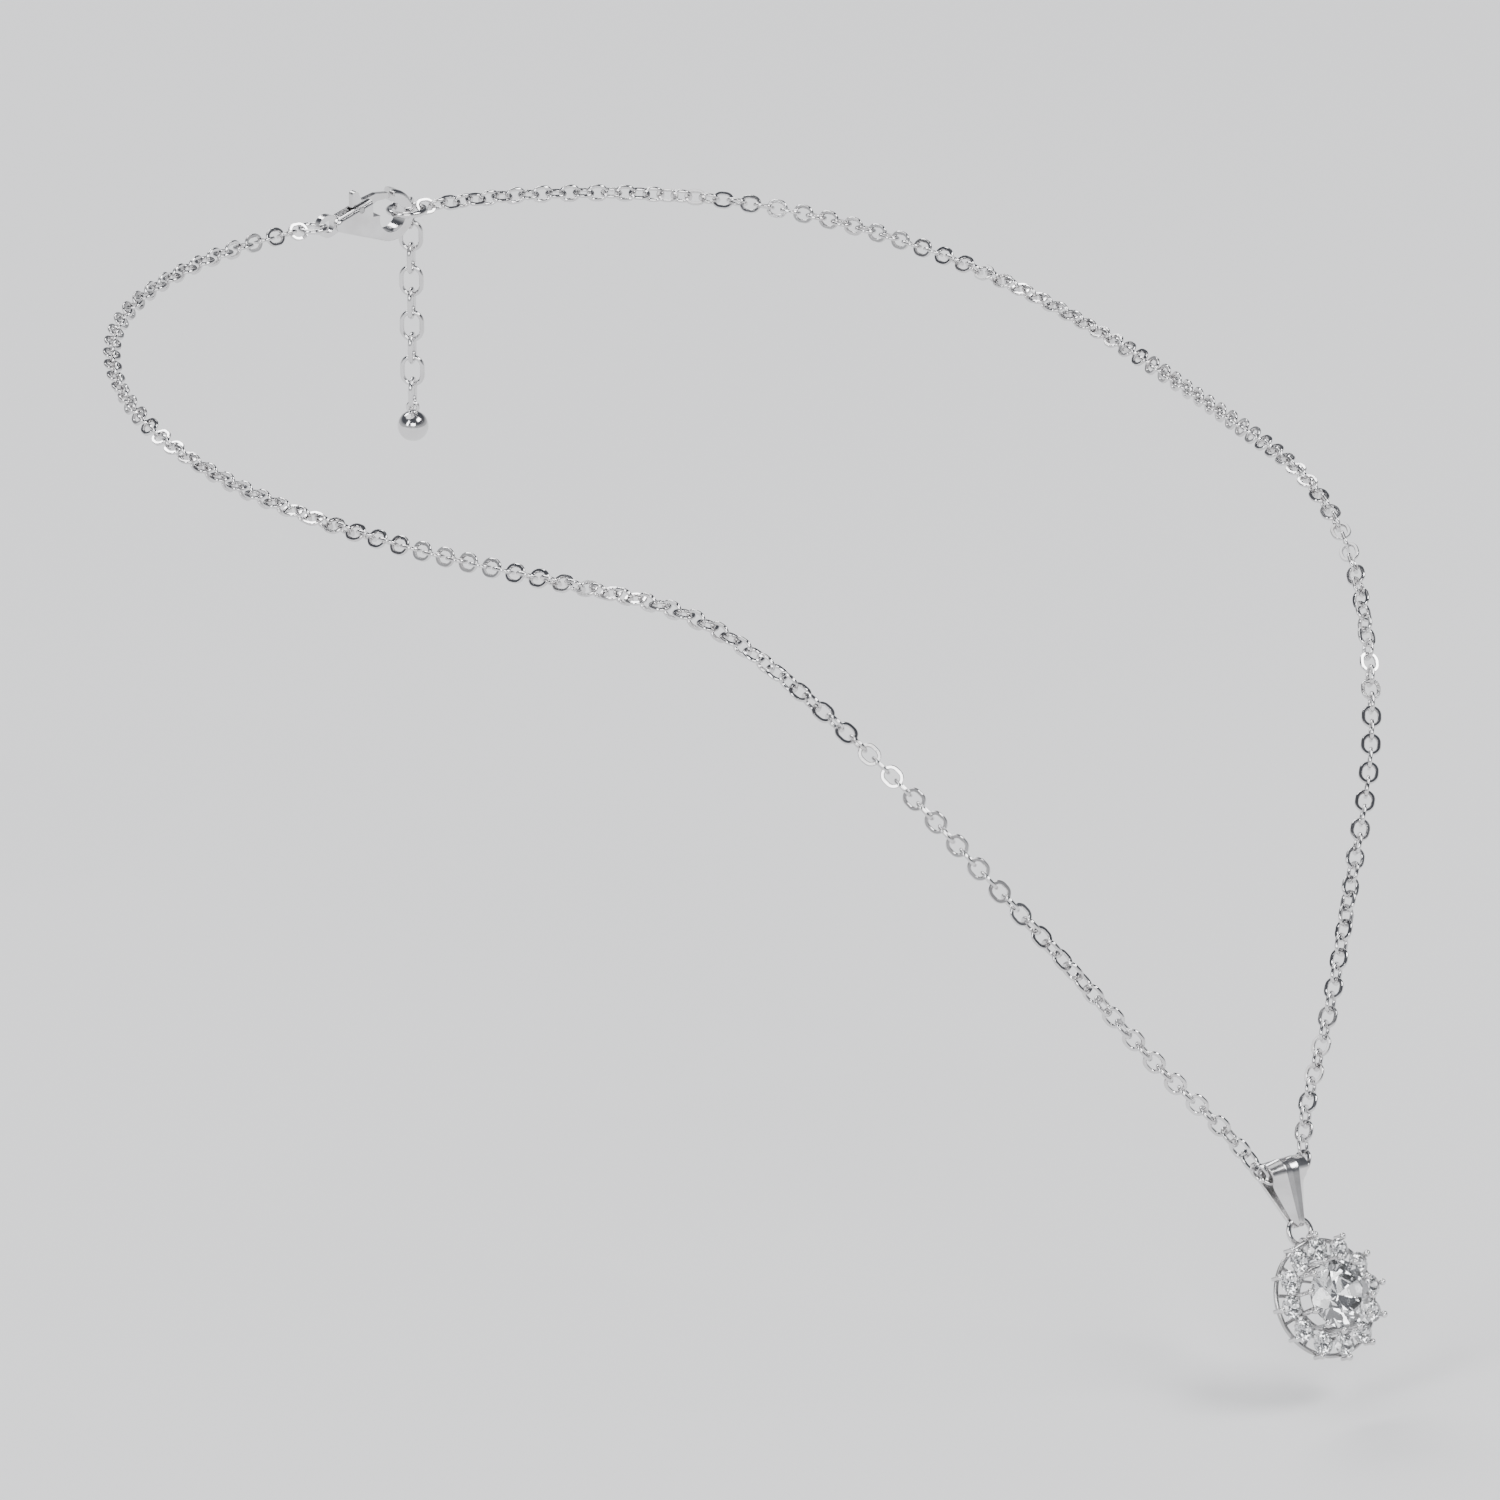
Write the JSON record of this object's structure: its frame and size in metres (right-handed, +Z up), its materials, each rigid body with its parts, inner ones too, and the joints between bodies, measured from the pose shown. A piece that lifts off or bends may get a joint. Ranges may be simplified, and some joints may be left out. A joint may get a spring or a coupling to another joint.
{
  "type": "pendant necklace",
  "caption": "Fine cable chain necklace with a tapered faceted bail, a round stone halo cluster pendant, and a sprung claw clasp with extender.",
  "frame": {"origin": "middle of the neck that wears the necklace, level with the chain at the sides of the neck", "axes": "+Z up along the wearer's neck, the front of the necklace faces -Y, +X to the right of somebody facing it"},
  "size_m": [0.094, 0.158, 0.0674],
  "materials": {
    "silver": "polished",
    "stone": "gloss",
    "spring_steel": "satin"
  },
  "bodies": {
    "shoulder_chain": {"chain_shoulder_left_1": "silver", "chain_shoulder_right_1": "silver"},
    "front_drape": {"chain_centre_link": "silver", "chain_front_left_1": "silver", "chain_front_left_2": "silver", "chain_front_left_3": "silver", "chain_front_right_1": "silver", "chain_front_right_2": "silver", "chain_front_right_3": "silver"},
    "bail": {"bail": "silver"},
    "jump_ring": {"jump_ring": "silver"},
    "pendant": {"centre_basket": "silver", "centre_stone": "stone", "halo_gallery": "silver", "halo_stones": "stone", "inner_prongs": "silver", "outer_prongs": "silver", "pendant_loop": "silver"},
    "nape_loop": {"chain_nape_left_1": "silver", "chain_nape_left_2": "silver", "chain_nape_left_3": "silver", "chain_nape_left_4": "silver", "chain_nape_right_1": "silver", "chain_nape_right_2": "silver", "chain_nape_right_3": "silver", "chain_nape_right_4": "silver", "clasp_ring": "silver", "end_ring": "silver"},
    "clasp": {"clasp_body": "silver", "clasp_pivot_pin": "spring_steel", "clasp_spring": "spring_steel"},
    "clasp_lever": {"clasp_lever": "silver"},
    "extender": {"extender_chain": "silver"},
    "extender_bead": {"extender_bead": "silver"}
  },
  "joints": [
    {"name": "front_drape_lift", "type": "hinge", "parent": "shoulder_chain", "child": "front_drape", "pos_m": [0, -0.04281, 0.00142], "axis": [-1, 0, 0], "range_deg": [0, 30]},
    {"name": "bail_swing", "type": "hinge", "parent": "front_drape", "child": "bail", "pos_m": [0, -0.0986, -0.0442], "axis": [-1, 0, 0], "range_deg": [0, 75]},
    {"name": "jump_ring_swing", "type": "hinge", "parent": "bail", "child": "jump_ring", "pos_m": [0, -0.10053, -0.04782], "axis": [-1, 0, 0], "range_deg": [0, 35]},
    {"name": "pendant_sway", "type": "hinge", "parent": "jump_ring", "child": "pendant", "pos_m": [0, -0.10107, -0.04884], "axis": [0, -0.8829, 0.4695], "range_deg": [-25, 25]},
    {"name": "nape_loop_lift", "type": "hinge", "parent": "shoulder_chain", "child": "nape_loop", "pos_m": [0, -0.02977, 0.00097], "axis": [1, 0, 0], "range_deg": [0, 25]},
    {"name": "clasp_tilt", "type": "hinge", "parent": "nape_loop", "child": "clasp", "pos_m": [-0.00429, 0.04648, 0.00579], "axis": [0, -1, 0], "range_deg": [0, 4]},
    {"name": "clasp_lever_open", "type": "hinge", "parent": "clasp", "child": "clasp_lever", "pos_m": [-0.00059, 0.04648, 0.00694], "axis": [0, 1, 0], "range_deg": [0, 22], "stiffness_Nm_per_rad": 0.0002, "springref_deg": -20.05},
    {"name": "extender_swing", "type": "hinge", "parent": "nape_loop", "child": "extender", "pos_m": [0.00632, 0.04772, 0.00611], "axis": [0.7071, -0.7071, 0], "range_deg": [0, 20]},
    {"name": "extender_bead_swing", "type": "hinge", "parent": "extender", "child": "extender_bead", "pos_m": [0.00632, 0.04772, -0.01423], "axis": [0.7071, -0.7071, 0], "range_deg": [-20, 20]}
  ]
}
